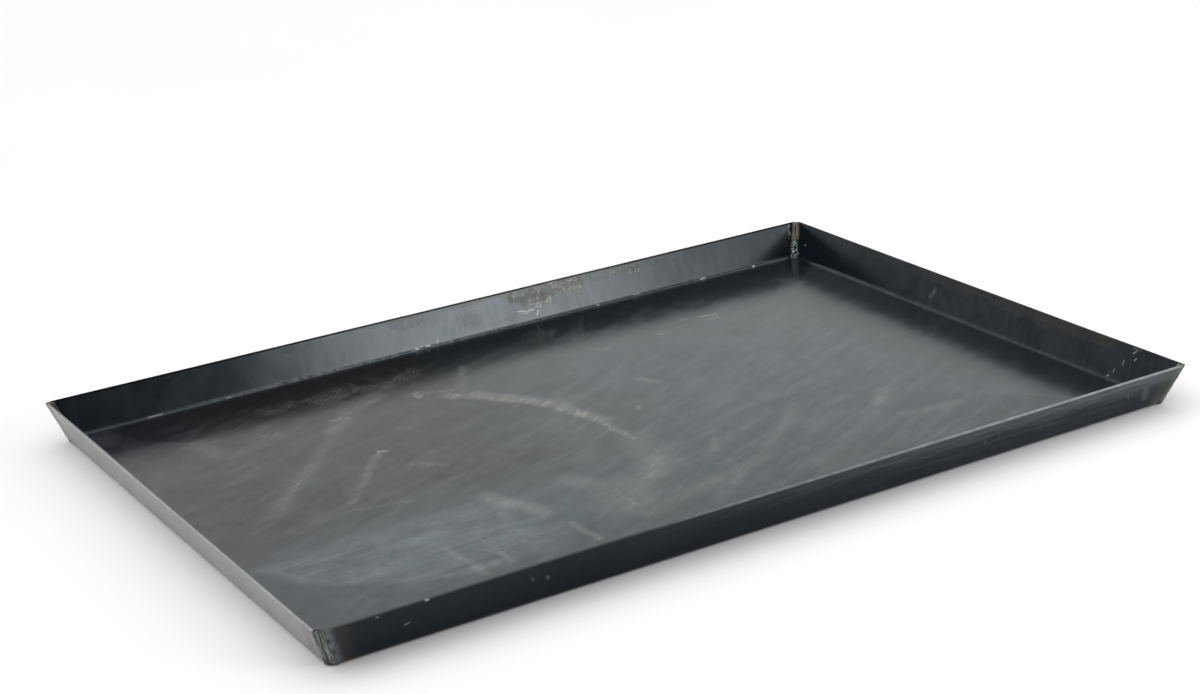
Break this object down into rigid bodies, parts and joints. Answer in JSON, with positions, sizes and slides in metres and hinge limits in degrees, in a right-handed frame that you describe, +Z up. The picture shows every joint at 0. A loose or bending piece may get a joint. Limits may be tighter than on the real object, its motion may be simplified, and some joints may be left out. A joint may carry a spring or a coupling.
{
  "type": "oil drain tray",
  "caption": "Shallow open rectangular drain tray folded from blackened steel sheet, with flared walls and welded corners.",
  "frame": {"origin": "middle of the flat underside, on the ground", "axes": "+X along the long side, +Y along the short side, +Z up out of the tray"},
  "size_m": [0.6, 0.411, 0.0267],
  "materials": {
    "blackened_steel": "hot-rolled sheet with blue-black mill scale, oiled, scuffed and worn bright along its edges",
    "ground_weld": "weld metal ground flat with a coarse disc, dull grey",
    "weld_bead": "rippled fillet bead, shiny in places, with straw and olive heat tint beside it"
  },
  "bodies": {
    "root": {"folded_sheet": "blackened_steel", "outside_weld_front_left": "ground_weld", "outside_weld_front_right": "ground_weld", "outside_weld_back_left": "ground_weld", "outside_weld_back_right": "ground_weld", "inside_weld_front_left": "weld_bead", "inside_weld_front_right": "weld_bead", "inside_weld_back_left": "weld_bead", "inside_weld_back_right": "weld_bead"}
  },
  "joints": []
}
